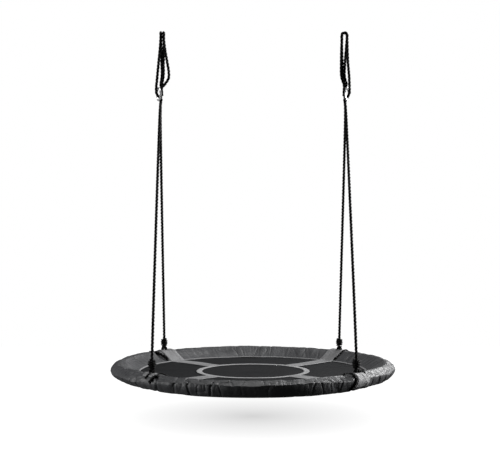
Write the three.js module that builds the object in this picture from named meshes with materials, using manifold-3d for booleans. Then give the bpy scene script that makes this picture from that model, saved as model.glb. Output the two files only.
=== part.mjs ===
// Round nest swing: a padded steel rim with a taut fabric seat, hung by two ropes
// through two steel rings. Millimetres, +Z up. The origin is the middle of the line
// between the two hooks that carry the swing.
import * as THREE from "three";
import { mergeVertices } from "three/addons/utils/BufferGeometryUtils.js";
import Module from "manifold-3d";

const wasm = await Module();
wasm.setup();

// ---------- driving dimensions ----------
const RIM_RADIUS = 471.6; // centreline of the steel ring
const RIM_Z = -1181; // height of that centreline
const SLEEVE_RADIUS = 28.3; // outside of the padded rim's section
const SLEEVE_THICK = 1.2;
const NECK_RADIUS = 21; // the sleeve drawn in under the webbing and rope
const NECK_HALF = 27; // half length of the drawn-in stretch
const NECK_BLEND = 14; // length over which it swells back
const FOAM_RADIUS = 25.8;
const TUBE_RADIUS = 14;
const TUBE_WALL = 2;
const SPIGOT_LENGTH = 40;
const SEAT_TOP_Z = -1190;
const MAT_THICK = 3;
const MAT_RADIUS = 442.4;
const CIRCLE_OUTER = 200;
const CIRCLE_INNER = 180.5;
const WEBBING_THICK = 1.5;
const STRAP_WIDTH = 60;
const STRAP_WRAP_WIDTH = 26; // where it is gathered over the rim between the rope turns
const BINDING_WIDTH = 4.6;
const BINDING_HEIGHT = 3;
const BINDING_RADIUS = 401;
const FLAP_THICK = 1.2; // the sleeve's inner flap, from the rim down to the binding
const FLAP_RADIUS = 28.8; // how far from the rim's centreline the flap leaves it
const ROPE_D = 8.5;
const KNOT_BOTTOM_Z = -1142;
const KNOT_TOP_Z = -1106;
const KNOT_RADIUS = 11.5;
const HANG_XY = 333.5; // each hanging point's distance from both centre planes
const TURN_OFFSET = 18.5; // each rope turn's distance from the middle of the webbing
const RING_X = 332;
const RING_Z = -213;
const RING_RADIUS = 22; // centreline of the steel wire
const RING_WIRE = 6;
const RING_YAW = -20; // degrees that each ring is turned from the fore-and-aft plane
const CROWN_Z = -3; // centre of the rope bends over each hook
const LOOP_TOP_Z = -15;
const LOOP_END_Z = RING_Z + 34;
const LEG_TOP_Z = RING_Z - 34;
const GAP = 0.3;

const RAD = Math.PI / 180;
const CORNERS = [
  ["rear_right", 45],
  ["rear_left", 135],
  ["front_left", 225],
  ["front_right", 315],
];
const SIDES = [
  ["right", 0],
  ["rear", 90],
  ["left", 180],
  ["front", 270],
];

// ---------- materials ----------
const paint = (color, roughness, metalness) =>
  new THREE.MeshStandardMaterial({ color, roughness, metalness });
const MATERIAL = {
  rope: () => paint(0x121213, 0.75, 0),
  steel: () => paint(0x9a9c9e, 0.45, 0.9),
  zinc: () => paint(0xc9cbcd, 0.2, 1),
  foam: () => paint(0x5a5c5e, 0.9, 0),
  sleeve: () => paint(0x48494d, 0.5, 0),
  mat: () => paint(0x2c2d30, 0.7, 0),
  webbing: () => paint(0x8f9092, 0.8, 0),
  binding: () => paint(0x77787b, 0.8, 0),
};

// ---------- geometry helpers ----------
// Joins rings of points, each ring a closed loop of the same count, into one skin.
function skin(rings, wrap) {
  const n = rings[0].length,
    m = rings.length,
    position = [],
    index = [];
  for (const ring of rings) for (const p of ring) position.push(p.x, p.y, p.z);
  const stop = wrap ? m : m - 1;
  for (let i = 0; i < stop; i++)
    for (let j = 0; j < n; j++) {
      const a = i * n + j,
        b = i * n + ((j + 1) % n),
        c = ((i + 1) % m) * n + j,
        d = ((i + 1) % m) * n + ((j + 1) % n);
      index.push(a, b, d, a, d, c);
    }
  const g = new THREE.BufferGeometry();
  g.setAttribute("position", new THREE.Float32BufferAttribute(position, 3));
  g.setIndex(index);
  return g;
}

// A point on the rim's section: angle a round the swing, phi round the section
// (0 is outward, 90 is up), r from the centreline.
const rimPoint = (a, phi, r) =>
  new THREE.Vector3(
    (RIM_RADIUS + r * Math.cos(phi)) * Math.cos(a),
    (RIM_RADIUS + r * Math.cos(phi)) * Math.sin(a),
    RIM_Z + r * Math.sin(phi),
  );

// A hollow arc of the rim from stations { a, outer, inner }; the section starts and
// ends open, so each ring of points runs out along the outside and back inside.
function rimArc(stations, sides) {
  const circle = (s, r) =>
    Array.from({ length: sides }, (_, k) =>
      rimPoint(s.a, (2 * Math.PI * k) / sides, r),
    );
  const outline = [
    ...stations.map((s) => circle(s, s.outer)),
    ...stations.map((s) => circle(s, s.inner)).reverse(),
  ];
  return flipIfInside(skin(outline, true));
}

function volumeOf(g) {
  const p = g.getAttribute("position"),
    ix = g.index ? g.index.array : [...Array(p.count).keys()],
    a = new THREE.Vector3(),
    b = new THREE.Vector3(),
    c = new THREE.Vector3();
  let v = 0;
  for (let i = 0; i < ix.length; i += 3) {
    a.fromBufferAttribute(p, ix[i]);
    b.fromBufferAttribute(p, ix[i + 1]);
    c.fromBufferAttribute(p, ix[i + 2]);
    v += a.dot(b.cross(c)) / 6;
  }
  return v;
}

function flipIfInside(g) {
  if (volumeOf(g) < 0) {
    const ix = g.index.array;
    for (let i = 0; i < ix.length; i += 3)
      [ix[i + 1], ix[i + 2]] = [ix[i + 2], ix[i + 1]];
  }
  return g;
}

function cleaned(g) {
  g = g.clone();
  g.deleteAttribute("normal");
  g.deleteAttribute("uv");
  return mergeVertices(g, 1e-3);
}

function solid(g) {
  const m = cleaned(g);
  return new wasm.Manifold(
    new wasm.Mesh({
      numProp: 3,
      vertProperties: m.attributes.position.array,
      triVerts: new Uint32Array(m.index.array),
    }),
  );
}

function geometryOf(s) {
  const m = s.getMesh(),
    position = new Float32Array(m.numVert * 3);
  for (let i = 0; i < m.numVert; i++)
    position.set(m.vertProperties.subarray(i * m.numProp, i * m.numProp + 3), i * 3);
  const g = new THREE.BufferGeometry();
  g.setAttribute("position", new THREE.BufferAttribute(position, 3));
  g.setIndex(new THREE.BufferAttribute(new Uint32Array(m.triVerts), 1));
  return g;
}

function disc(radius, sides) {
  const s = new THREE.Shape();
  for (let k = 0; k < sides; k++) {
    const t = (2 * Math.PI * k) / sides;
    if (k) s.lineTo(radius * Math.cos(t), radius * Math.sin(t));
    else s.moveTo(radius, 0);
  }
  s.closePath();
  return s;
}

// A rope stretch along the given points, with flat ends.
function rope(points, steps, d = ROPE_D) {
  const path = new THREE.CatmullRomCurve3(
    points.map((p) => new THREE.Vector3(...p)),
    false,
    "centripetal",
  );
  return new THREE.ExtrudeGeometry(disc(d / 2, 8), {
    steps,
    bevelEnabled: false,
    extrudePath: path,
  });
}

// A plate from a flat outline, its underside at z.
function plate(shape, thickness, z) {
  return new THREE.ExtrudeGeometry(shape, {
    depth: thickness,
    bevelEnabled: false,
    curveSegments: 1,
  }).translate(0, 0, z);
}

const swing = new THREE.Group();
function add(name, geometry, material, parent = swing) {
  if (!geometry.getAttribute("normal")) geometry.computeVertexNormals();
  const mesh = new THREE.Mesh(geometry, MATERIAL[material]());
  mesh.name = name;
  parent.add(mesh);
  return mesh;
}

// ---------- steel ring: four quarter tubes, each with a spigot in the next ----------
const seat = new THREE.Group();
swing.add(seat);
const ARC = (Math.PI / 2) * RIM_RADIUS; // rim length between two hanging points
const NECK_END = NECK_HALF + NECK_BLEND;
// Distances from a hanging point at which every rim part has a section, so that the
// parts inside each other bend at the same places.
const BODY_MARKS = [];
for (let k = 0; k <= 8; k++) BODY_MARKS.push(NECK_END + ((ARC - 2 * NECK_END) * k) / 8);
BODY_MARKS.push(ARC / 2 + SPIGOT_LENGTH);
BODY_MARKS.sort((p, q) => p - q);
const tubeSolids = SIDES.map(([, deg]) => {
  const from = (deg - 45) * RAD,
    end = ARC * 1.5 - 0.5,
    marks = [
      ...BODY_MARKS.filter((m) => m >= ARC / 2 - 1e-6),
      ARC,
      ...BODY_MARKS.filter((m) => m < ARC / 2 - 1e-6).map((m) => m + ARC),
    ],
    wide = (s) => ({ a: from + s / RIM_RADIUS, outer: TUBE_RADIUS, inner: TUBE_RADIUS - TUBE_WALL }),
    stations = [
      ...marks.map(wide),
      wide(end - 6),
      { ...wide(end), inner: 9.4 },
      { ...wide(end), outer: 11.3, inner: 9.4 },
      { ...wide(end + SPIGOT_LENGTH - 1), outer: 11.3, inner: 9.4 },
    ];
  return solid(rimArc(stations, 8));
});

// One screw through each joint from below, head outside the tube.
const SCREW_ANGLE = 20 / RIM_RADIUS; // past the joint, over the middle of the spigot
const screwAt = SIDES.map(([, deg]) => {
  const a = deg * RAD + SCREW_ANGLE;
  return [RIM_RADIUS * Math.cos(a), RIM_RADIUS * Math.sin(a)];
});
const cylinder = (r, z0, z1, [x, y]) =>
  new THREE.CylinderGeometry(r, r, z1 - z0, 10)
    .rotateX(Math.PI / 2)
    .translate(x, y, (z0 + z1) / 2);
SIDES.forEach(([name], i) => {
  let s = tubeSolids[i];
  const own = solid(cylinder(2.8, RIM_Z - 17, RIM_Z - 7, screwAt[i])),
    next = solid(cylinder(2.8, RIM_Z - 17, RIM_Z - 7, screwAt[(i + 1) % 4]));
  s = s.subtract(own).subtract(next);
  const to = SIDES[(i + 1) % 4][0];
  add("frame_tube_" + name + "_to_" + to, geometryOf(s), "steel", seat);
});
SIDES.forEach(([name], i) => {
  const profile = [
    [0, -8.6],
    [2.3, -8.6],
    [2.3, -14.4],
    [4.6, -14.4],
    [4.6, -16.8],
    [0, -16.8],
  ].map(([r, y]) => new THREE.Vector2(r, y));
  const g = new THREE.LatheGeometry(profile.reverse(), 10)
    .rotateX(Math.PI / 2)
    .translate(screwAt[i][0], screwAt[i][1], RIM_Z);
  add("joint_screw_" + name, g, "zinc", seat);
});

// ---------- foam and sleeve: one arc between each pair of hanging points ----------
function sleeveRadius(s) {
  // s is the distance along the rim from the hanging point
  if (s <= NECK_HALF) return NECK_RADIUS;
  if (s >= NECK_HALF + NECK_BLEND) return SLEEVE_RADIUS;
  const t = (s - NECK_HALF) / NECK_BLEND;
  return NECK_RADIUS + (SLEEVE_RADIUS - NECK_RADIUS) * t * t * (3 - 2 * t);
}
SIDES.forEach(([name, deg], i) => {
  const from = (deg - 45) * RAD,
    to = (deg + 45) * RAD,
    foamStations = [],
    sleeveStations = [];
  for (const m of [...BODY_MARKS, ARC / 2 - 6.5].sort((p, q) => p - q))
    foamStations.push({
      a: from + m / RIM_RADIUS,
      outer: FOAM_RADIUS,
      inner: TUBE_RADIUS + GAP,
    });
  const pocket = solid(cylinder(5.4, RIM_Z - 18, RIM_Z - 12, screwAt[i]));
  add(
    "foam_pad_" + name,
    geometryOf(solid(rimArc(foamStations, 8)).subtract(pocket)),
    "foam",
    seat,
  );
  const arc = ARC,
    neck = [0.4, NECK_HALF, NECK_HALF + NECK_BLEND / 2],
    along = [...neck, ...BODY_MARKS, ...neck.map((m) => arc - m).reverse()];
  for (const s of along) {
    const outer = sleeveRadius(Math.min(s, arc - s));
    sleeveStations.push({
      a: from + s / RIM_RADIUS,
      outer,
      inner: outer - SLEEVE_THICK,
    });
  }
  add("rim_sleeve_" + name, rimArc(sleeveStations, 12), "sleeve", seat);
  // the flap of sleeve fabric that slopes down from the rim to the seat inside it
  const foot = [BINDING_RADIUS + GAP + 0.8 - RIM_RADIUS, SEAT_TOP_Z + GAP - RIM_Z],
    reach = Math.hypot(foot[0], foot[1]),
    leave = Math.atan2(foot[1], foot[0]) + 2 * Math.PI - Math.acos(FLAP_RADIUS / reach),
    ux = Math.cos(leave),
    uz = Math.sin(leave),
    section = [
      foot,
      [FLAP_RADIUS * ux, FLAP_RADIUS * uz],
      [(FLAP_RADIUS + FLAP_THICK) * ux, (FLAP_RADIUS + FLAP_THICK) * uz],
      [foot[0] + FLAP_THICK * ux, foot[1] + FLAP_THICK * uz],
    ],
    flapMarks = [38, ...BODY_MARKS, arc - 38];
  const flap = skin(
      flapMarks.map((m) => {
        const a = from + m / RIM_RADIUS;
        return section.map(
          ([x, z]) =>
            new THREE.Vector3(
              (RIM_RADIUS + x) * Math.cos(a),
              (RIM_RADIUS + x) * Math.sin(a),
              RIM_Z + z,
            ),
        );
      }),
      false,
    ),
    far = 4 * (flapMarks.length - 1);
  flap.setIndex([
    ...flap.index.array,
    ...[0, 2, 1, 0, 3, 2],
    ...[far, far + 1, far + 2, far, far + 2, far + 3],
  ]);
  add("inner_flap_" + name, flipIfInside(flap), "sleeve", seat);
  // the bound edge where the flap and seat are sewn together
  const bindingRings = [],
    bindingMarks = [38, ...BODY_MARKS, arc - 38];
  for (const m of bindingMarks) {
    const a = from + m / RIM_RADIUS,
      at = (r, z) =>
        new THREE.Vector3(r * Math.cos(a), r * Math.sin(a), SEAT_TOP_Z + z);
    bindingRings.push([
      at(BINDING_RADIUS - BINDING_WIDTH, GAP),
      at(BINDING_RADIUS, GAP),
      at(BINDING_RADIUS, BINDING_HEIGHT),
      at(BINDING_RADIUS - BINDING_WIDTH, BINDING_HEIGHT),
    ]);
  }
  const side = skin(bindingRings, false),
    last = 4 * (bindingMarks.length - 1);
  side.setIndex([
    ...side.index.array,
    ...[0, 2, 1, 0, 3, 2],
    ...[last, last + 1, last + 2, last, last + 2, last + 3],
  ]);
  add("edge_binding_" + name, flipIfInside(side), "binding", seat);
});

// ---------- seat mat and webbing ----------
// The mat's edge is let in at each hanging point, where the rope passes it.
const matOutline = [];
for (let q = 0; q < 4; q++) {
  const corner = (q * 90 + 45) * RAD,
    half = 26 / MAT_RADIUS;
  for (const [a, r] of [
    [-half, MAT_RADIUS],
    [-half, MAT_RADIUS - 5],
    [half, MAT_RADIUS - 5],
    [half, MAT_RADIUS],
  ])
    matOutline.push([corner + a, r]);
  for (let k = 1; k <= 9; k++) matOutline.push([corner + (k * 9 * RAD), MAT_RADIUS]);
}
add(
  "seat_mat",
  plate(
    new THREE.Shape(
      matOutline.map(([a, r]) => new THREE.Vector2(r * Math.cos(a), r * Math.sin(a))),
    ),
    MAT_THICK,
    SEAT_TOP_Z - MAT_THICK,
  ),
  "mat",
  seat,
);
const circle = disc(CIRCLE_OUTER, 40);
circle.holes.push(disc(CIRCLE_INNER, 40));
add(
  "webbing_circle",
  plate(circle, WEBBING_THICK, SEAT_TOP_Z + GAP),
  "webbing",
  seat,
);

// Each strap runs out from the circle, climbs the rim and wraps over it to below.
function strapGeometry() {
  const inner = NECK_RADIUS + 1,
    outer = inner + WEBBING_THICK,
    low = SEAT_TOP_Z + GAP - RIM_Z,
    high = low + WEBBING_THICK,
    start = CIRCLE_OUTER + 1.2 - RIM_RADIUS,
    narrow = -44,
    shape = new THREE.Shape(),
    phiIn = Math.PI - Math.asin(low / inner),
    phiOut = Math.PI - Math.asin(high / outer),
    end = -115 * RAD,
    n = 12;
  shape.moveTo(narrow, low);
  for (let k = 0; k <= n; k++) {
    const t = phiIn + ((end - phiIn) * k) / n;
    shape.lineTo(inner * Math.cos(t), inner * Math.sin(t));
  }
  for (let k = n; k >= 0; k--) {
    const t = phiOut + ((end - phiOut) * k) / n;
    shape.lineTo(outer * Math.cos(t), outer * Math.sin(t));
  }
  shape.lineTo(narrow, high);
  shape.closePath();
  // the outline lies in the radial plane; the width runs along the rim
  const extruded = (outline, width) =>
    new THREE.ExtrudeGeometry(outline, { depth: width, bevelEnabled: false })
      .translate(0, 0, -width / 2)
      .rotateX(Math.PI / 2)
      .translate(RIM_RADIUS, 0, RIM_Z);
  const flat = new THREE.Shape(
    [
      [start, low],
      [-36, low],
      [-36, high],
      [start, high],
    ].map(([x, y]) => new THREE.Vector2(x, y)),
  );
  return geometryOf(
    solid(extruded(flat, STRAP_WIDTH)).add(solid(extruded(shape, STRAP_WRAP_WIDTH))),
  );
}
for (const [name, deg] of CORNERS)
  add("strap_" + name, strapGeometry().rotateZ(deg * RAD), "webbing", seat);

// ---------- rope eyes round the rim ----------
// Two turns of rope round the rim over the webbing; they draw together on top, under the knot.
function ropeEye() {
  const turn = (sign) => {
    const rings = [],
      n = 16,
      base = NECK_RADIUS + 1 + WEBBING_THICK + GAP + 0.4 + ROPE_D / 2;
    for (let k = 0; k < n; k++) {
      const phi = (2 * Math.PI * k) / n,
        up = Math.max(0, Math.sin(phi)) ** 3,
        along = sign * (TURN_OFFSET - (TURN_OFFSET - 3.7) * up),
        r = base + 1.2 * up,
        c = new THREE.Vector3(r * Math.cos(phi), along, r * Math.sin(phi)),
        out = new THREE.Vector3(Math.cos(phi), 0, Math.sin(phi)),
        side = new THREE.Vector3(0, 1, 0),
        ring = [];
      for (let j = 0; j < 8; j++) {
        const t = (2 * Math.PI * j) / 8;
        ring.push(
          c
            .clone()
            .addScaledVector(out, (ROPE_D / 2) * Math.cos(t))
            .addScaledVector(side, (ROPE_D / 2) * Math.sin(t)),
        );
      }
      rings.push(ring);
    }
    return solid(flipIfInside(skin(rings, true)));
  };
  return geometryOf(turn(1).add(turn(-1)));
}
for (const [name, deg] of CORNERS)
  add(
    name + "_rope_eye",
    ropeEye().translate(RIM_RADIUS, 0, RIM_Z).rotateZ(deg * RAD),
    "rope",
    seat,
  );

// ---------- knots: four turns of rope round the standing part ----------
function knotGeometry() {
  const turns = 4,
    pitch = (KNOT_TOP_Z - KNOT_BOTTOM_Z) / turns,
    profile = [new THREE.Vector2(0, 0), new THREE.Vector2(6, 0)];
  for (let i = 0; i < turns; i++) {
    profile.push(new THREE.Vector2(KNOT_RADIUS, (i + 0.32) * pitch));
    profile.push(new THREE.Vector2(KNOT_RADIUS, (i + 0.68) * pitch));
    if (i < turns - 1)
      profile.push(new THREE.Vector2(KNOT_RADIUS - 2, (i + 1) * pitch));
  }
  profile.push(new THREE.Vector2(6, turns * pitch));
  profile.push(new THREE.Vector2(0, turns * pitch));
  return new THREE.LatheGeometry(profile, 10).rotateX(Math.PI / 2);
}
for (const [name, deg] of CORNERS) {
  const sx = Math.sign(Math.cos(deg * RAD)),
    sy = Math.sign(Math.sin(deg * RAD)),
    x = sx * HANG_XY,
    y = sy * HANG_XY;
  add(
    name + "_knot",
    knotGeometry().translate(x, y, KNOT_BOTTOM_Z),
    "rope",
  );
  add(
    name + "_leg_rope",
    rope(
      [
        [sx * RING_X - sx * 6, sy * 5.2, LEG_TOP_Z],
        [sx * RING_X - sx * 4.5, sy * 19, LEG_TOP_Z - 42],
        [x, y, KNOT_TOP_Z + 1.9],
      ],
      12,
    ),
    "rope",
  );
}

// ---------- steel rings and the rope drawn through them ----------
for (const [name, s] of [
  ["left", -1],
  ["right", 1],
]) {
  const at = new THREE.Group();
  at.position.set(s * RING_X, 0, RING_Z);
  swing.add(at);
  const ring = new THREE.TorusGeometry(RING_RADIUS, RING_WIRE / 2, 8, 18)
    .rotateY(Math.PI / 2)
    .rotateZ(s * RING_YAW * RAD);
  add(name + "_ring", cleaned(ring), "zinc", at);
  // one strand passes down outside the ring and crosses through it; two more pass on
  // the inner side, all drawn together below
  const yaw = s * RING_YAW * RAD,
    strand = (points, steps) =>
      rope(
        points.map(([x, y, z]) => [-s * x, y, z]),
        steps,
      ).rotateZ(yaw),
    outside = solid(
      strand(
        [
          [-8.6, 0, 29],
          [-9.4, 0, 16],
          [-9.2, 0, 4],
          [-5, 0, -5],
          [3, 0, -10.5],
          [8.4, 0, -17],
          [8.6, 0, -29],
        ],
        12,
      ),
    ),
    front = solid(strand([[8.6, -4.4, 29], [8.6, -4.4, 0], [8.6, -4.4, -29]], 2)),
    rear = solid(strand([[8.6, 4.4, 29], [8.6, 4.4, 0], [8.6, 4.4, -29]], 2));
  add(
    name + "_ring_hitch",
    geometryOf(outside.add(front).add(rear)),
    "rope",
    at,
  );
}

// ---------- hanging loops: four strands a side, and the two bends over each hook ----------
// Distances across are from the ring's centre, towards +X.
const LOOPS = {
  left: {
    x: -RING_X,
    crowns: [
      ["outer", [7.4, -7], [7.4, 7]],
      ["inner", [17.6, -7], [17.6, 7]],
    ],
    strands: [
      ["outer_front", [[7.4, -7, LOOP_TOP_Z], [4.6, -6, -55], [0.7, -5, -92], [-3.6, -3, -135], [-6.6, -1, -165], [-8.2, 1, LOOP_END_Z]]],
      ["outer_rear", [[7.4, 7, LOOP_TOP_Z], [8.6, 8, -60], [9.6, 9.5, -105], [10.5, 9.5, -145], [6, 7.5, LOOP_END_Z]]],
      ["inner_front", [[17.6, -7, LOOP_TOP_Z], [23, -9.5, -60], [31, -11, -105], [36, -11.5, -138], [35, -11, -158], [22, -10, LOOP_END_Z]]],
      ["inner_rear", [[17.6, 7, LOOP_TOP_Z], [18, 5, -60], [16.6, 2, -105], [16.8, 0, -145], [11.5, -2, LOOP_END_Z]]],
    ],
  },
  right: {
    x: RING_X,
    crowns: [
      ["front", [-18.4, -5], [0, -5]],
      ["rear", [-18.4, 5], [0, 5]],
    ],
    strands: [
      ["front_inner", [[-18.4, -5, LOOP_TOP_Z], [-20.4, -5, -60], [-21, -5, -105], [-20, -5, -150], [-11, -5, LOOP_END_Z]]],
      ["front_outer", [[0, -5, LOOP_TOP_Z], [0.8, -6, -60], [3, -7, -105], [6.6, -6, -145], [8.6, -1, LOOP_END_Z]]],
      ["rear_inner", [[-18.4, 5, LOOP_TOP_Z], [-17.4, 5.6, -60], [-16, 7, -105], [-15, 7, -150], [-9, 7, LOOP_END_Z]]],
      ["rear_outer", [[0, 5, LOOP_TOP_Z], [-3.6, 5, -60], [-7.2, 0.4, -105], [-8.4, -0.6, -150], [-0.2, 3, LOOP_END_Z]]],
    ],
  },
};
for (const [side, loop] of Object.entries(LOOPS)) {
  for (const [name, [xa, ya], [xb, yb]] of loop.crowns) {
    const points = [];
    for (let k = 0; k <= 6; k++) {
      const t = (Math.PI * k) / 6,
        u = (1 - Math.cos(t)) / 2;
      points.push([
        loop.x + xa + (xb - xa) * u,
        ya + (yb - ya) * u,
        CROWN_Z + (Math.hypot(xb - xa, yb - ya) / 2) * Math.sin(t),
      ]);
    }
    const raise = ROPE_D - (CROWN_Z + Math.hypot(xb - xa, yb - ya) / 2 + ROPE_D / 2);
    const lifted = points.map(([x, y, z], k) => [
      x,
      y,
      z + raise * Math.sin((Math.PI * k) / 6),
    ]);
    add(side + "_hook_bend_" + name, rope(lifted, 8), "rope");
  }
  for (const [name, points] of loop.strands)
    add(
      side + "_loop_rope_" + name,
      rope(
        points.map(([x, y, z]) => [loop.x + x, y, z]),
        9,
      ),
      "rope",
    );
}

export default swing;
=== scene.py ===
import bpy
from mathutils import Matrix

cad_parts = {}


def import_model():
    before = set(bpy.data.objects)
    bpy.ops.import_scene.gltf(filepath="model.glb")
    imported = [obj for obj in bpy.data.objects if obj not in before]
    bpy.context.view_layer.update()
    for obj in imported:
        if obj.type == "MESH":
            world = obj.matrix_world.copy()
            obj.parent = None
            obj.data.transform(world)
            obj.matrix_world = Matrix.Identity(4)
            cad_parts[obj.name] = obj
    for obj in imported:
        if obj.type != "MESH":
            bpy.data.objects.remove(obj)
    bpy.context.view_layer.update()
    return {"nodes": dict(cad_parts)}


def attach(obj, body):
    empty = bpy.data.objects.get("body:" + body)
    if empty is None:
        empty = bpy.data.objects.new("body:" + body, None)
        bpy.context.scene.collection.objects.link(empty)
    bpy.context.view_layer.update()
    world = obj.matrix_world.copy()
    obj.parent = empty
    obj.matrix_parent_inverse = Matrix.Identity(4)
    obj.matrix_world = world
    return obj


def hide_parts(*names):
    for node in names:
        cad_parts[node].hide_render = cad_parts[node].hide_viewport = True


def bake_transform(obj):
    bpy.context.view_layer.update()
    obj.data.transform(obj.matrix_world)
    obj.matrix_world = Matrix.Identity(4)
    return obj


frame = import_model()

import math

import bpy
import numpy as np
from mathutils import Matrix, Vector

N = frame["nodes"]

# ---------------- dimensions, in metres, as in the CAD ----------------
RIM_R, RIM_Z = 0.4716, -1.181
SLEEVE_R = 0.0283
SEAT_Z = -1.190
ROPE_D = 0.0085
ROPE_CREST = 0.0107  # across the crests of the three strands
RING_X, RING_Z, RING_YAW = 0.332, -0.213, math.radians(-20)
HANG = 0.3335
KNOT_LOW, KNOT_HIGH = -1.142, -1.106
LOOP_TOP, LOOP_END = -0.015, -0.179
LEG_TOP = -0.247
CORNERS = {"rear_right": 45, "rear_left": 135, "front_left": 225, "front_right": 315}

# ---------------- camera ----------------
cam_data = bpy.data.cameras.new("view")
cam_data.sensor_width = 36.0
cam_data.lens = 36.0 * 1226.0 / 500.0
cam_data.clip_end = 200
cam = bpy.data.objects.new("view", cam_data)
bpy.context.scene.collection.objects.link(cam)
turn = math.radians(0.61)
cx, cy = -0.0105, -4.33
cam.location = (cx * math.cos(turn) + cy * math.sin(turn), -cx * math.sin(turn) + cy * math.cos(turn), -0.625)
cam.rotation_euler = (math.radians(90 - 0.645), 0, -turn)
bpy.context.scene.camera = cam


# ---------------- small node helpers ----------------
def new_material(name):
    m = bpy.data.materials.new(name)
    m.use_nodes = True
    nt = m.node_tree
    return m, nt, nt.nodes["Principled BSDF"]


def node(nt, kind, **values):
    n = nt.nodes.new(kind)
    for k, v in values.items():
        if k.startswith("in_"):
            key = k[3:]
            n.inputs[int(key) if key.isdigit() else key.replace("_", " ")].default_value = v
        else:
            setattr(n, k, v)
    return n


def math_node(nt, op, a, b=None):
    n = nt.nodes.new("ShaderNodeMath")
    n.operation = op
    for i, v in enumerate((a, b)):
        if v is None:
            continue
        if hasattr(v, "is_output"):
            nt.links.new(v, n.inputs[i])
        else:
            n.inputs[i].default_value = v
    return n.outputs[0]


def ramp(nt, fac, stops):
    n = nt.nodes.new("ShaderNodeValToRGB")
    e = n.color_ramp.elements
    while len(e) < len(stops):
        e.new(0.5)
    for el, (p, c) in zip(e, stops):
        el.position = p
        el.color = c if len(c) == 4 else (*c, 1)
    nt.links.new(fac, n.inputs[0])
    return n.outputs[0]


def mix_color(nt, fac, a, b, mode="MIX"):
    n = nt.nodes.new("ShaderNodeMix")
    n.data_type = "RGBA"
    n.blend_type = mode
    for sock, v in ((n.inputs[0], fac), (n.inputs[6], a), (n.inputs[7], b)):
        if hasattr(v, "is_output"):
            nt.links.new(v, sock)
        elif isinstance(v, (int, float)):
            sock.default_value = v
        else:
            sock.default_value = (*v, 1) if len(v) == 3 else v
    return n.outputs[2]


def bump(nt, bsdf, height, distance, strength=1.0, after=None):
    n = nt.nodes.new("ShaderNodeBump")
    n.inputs["Strength"].default_value = strength
    n.inputs["Distance"].default_value = distance
    nt.links.new(height, n.inputs["Height"])
    if after is not None:
        nt.links.new(after, n.inputs["Normal"])
    nt.links.new(n.outputs[0], bsdf.inputs["Normal"])
    return n.outputs[0]


def attribute(nt, name):
    n = nt.nodes.new("ShaderNodeAttribute")
    n.attribute_name = name
    return n.outputs["Vector"]


def separate(nt, vec):
    n = nt.nodes.new("ShaderNodeSeparateXYZ")
    nt.links.new(vec, n.inputs[0])
    return n.outputs


def noise(nt, vec, scale, detail=3.0, rough=0.55):
    n = nt.nodes.new("ShaderNodeTexNoise")
    n.inputs["Scale"].default_value = scale
    n.inputs["Detail"].default_value = detail
    n.inputs["Roughness"].default_value = rough
    if vec is not None:
        nt.links.new(vec, n.inputs["Vector"])
    return n.outputs["Fac"]


def object_coords(nt):
    return nt.nodes.new("ShaderNodeTexCoord").outputs["Object"]


# A mesh's "surf" attribute holds metres along and across its surface, so weaves follow it.
def weave_height(nt, vec, pitch_u, pitch_v):
    x, y, _ = separate(nt, vec)
    u = math_node(nt, "MULTIPLY", x, math.pi / pitch_u)
    v = math_node(nt, "MULTIPLY", y, math.pi / pitch_v)
    su = math_node(nt, "ABSOLUTE", math_node(nt, "SINE", u))
    sv = math_node(nt, "ABSOLUTE", math_node(nt, "SINE", v))
    # which thread is on top alternates like a chequerboard
    over = math_node(nt, "MULTIPLY", math_node(nt, "SINE", u), math_node(nt, "SINE", v))
    top = math_node(nt, "GREATER_THAN", over, 0.0)
    warp = math_node(nt, "MULTIPLY", su, top)
    weft = math_node(nt, "MULTIPLY", sv, math_node(nt, "SUBTRACT", 1.0, top))
    return math_node(nt, "ADD", warp, weft)


# ---------------- materials ----------------
def rope_material():
    m, nt, b = new_material("rope_black")
    s = attribute(nt, "surf")
    along, around, strand = separate(nt, s)
    # yarns lie across each strand, against the lay of the rope
    yarn = math_node(nt, "SINE", math_node(nt, "ADD", math_node(nt, "MULTIPLY", along, 2 * math.pi / 0.0021), math_node(nt, "MULTIPLY", around, 6.0)))
    fine = noise(nt, object_coords(nt), 1500.0, 2.0)
    h = math_node(nt, "ADD", math_node(nt, "MULTIPLY", yarn, 0.5), fine)
    bump(nt, b, h, 0.00022, 0.8)
    tint = ramp(nt, noise(nt, object_coords(nt), 90.0), [(0.3, (0.0010, 0.0010, 0.0011)), (0.75, (0.0028, 0.0028, 0.0030))])
    # painted shade: the rope's colour is darkened in the grooves between its strands
    rope_groove_shade = ramp(nt, strand, [(0.0, (0.35, 0.35, 0.35)), (0.55, (1, 1, 1))])
    nt.links.new(mix_color(nt, 1.0, tint, rope_groove_shade, "MULTIPLY"), b.inputs["Base Color"])
    nt.links.new(ramp(nt, fine, [(0.2, (0.42, 0.42, 0.42)), (0.8, (0.62, 0.62, 0.62))]), b.inputs["Roughness"])
    b.inputs["Specular IOR Level"].default_value = 0.10
    return m


def ring_material():
    m, nt, b = new_material("ring_bright_steel")
    oc = object_coords(nt)
    b.inputs["Metallic"].default_value = 0.45
    nt.links.new(ramp(nt, noise(nt, oc, 60.0), [(0.3, (0.76, 0.77, 0.78)), (0.7, (0.88, 0.88, 0.89))]), b.inputs["Base Color"])
    scratch = noise(nt, oc, 900.0, 4.0)
    nt.links.new(ramp(nt, scratch, [(0.3, (0.10, 0.10, 0.10)), (0.8, (0.22, 0.22, 0.22))]), b.inputs["Roughness"])
    bump(nt, b, scratch, 0.00003, 0.6)
    return m


ROPE = rope_material()
RING = ring_material()


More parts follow.
